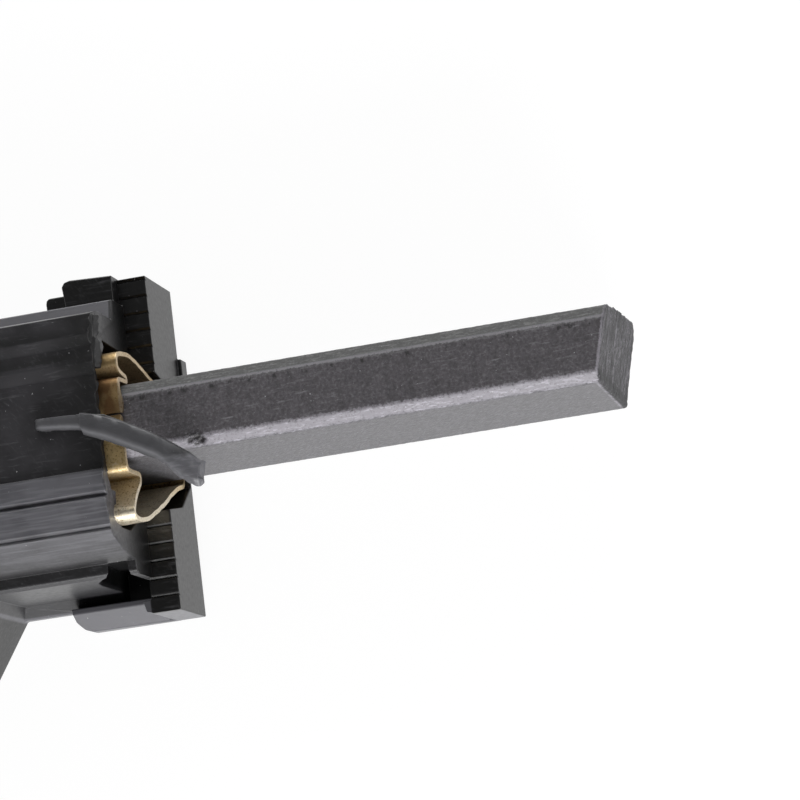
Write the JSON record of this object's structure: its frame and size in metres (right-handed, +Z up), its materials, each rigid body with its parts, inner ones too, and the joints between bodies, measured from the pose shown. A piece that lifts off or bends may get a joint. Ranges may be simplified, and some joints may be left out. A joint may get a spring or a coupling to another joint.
{
  "type": "carbon brush",
  "caption": "Motor carbon brush standing out of its moulded holder, with folded brass sleeve, flange, diagonal leg with screw ear and blade terminal.",
  "frame": {"origin": "where the brush's centre line meets the plane of the flange's front face", "axes": "+X out along the brush, +Y across the brush's narrow side, away from the leg, +Z up from the holder's flat back"},
  "size_m": [0.0864, 0.032, 0.0164],
  "materials": {
    "housing": "satin moulding with die lines",
    "brass_sleeve": "dull rolled brass",
    "carbon_brush": "pressed carbon, scratched",
    "pressure_spring": "drawn wire",
    "shunt_lead": "braided copper",
    "terminal_blade": "dull rolled brass"
  },
  "bodies": {
    "holder": {"housing": "housing", "brass_sleeve": "brass_sleeve", "pressure_spring": "pressure_spring", "shunt_lead": "shunt_lead", "terminal_blade": "terminal_blade"},
    "brush": {"carbon_brush": "carbon_brush"}
  },
  "joints": [
    {"name": "brush_slide", "type": "slide", "parent": "holder", "child": "brush", "axis": [-1, 0, 0], "range_m": [0, 0.028], "stiffness_N_per_m": 80, "springref_m": -0.012, "deforming": ["pressure_spring", "shunt_lead"]}
  ]
}
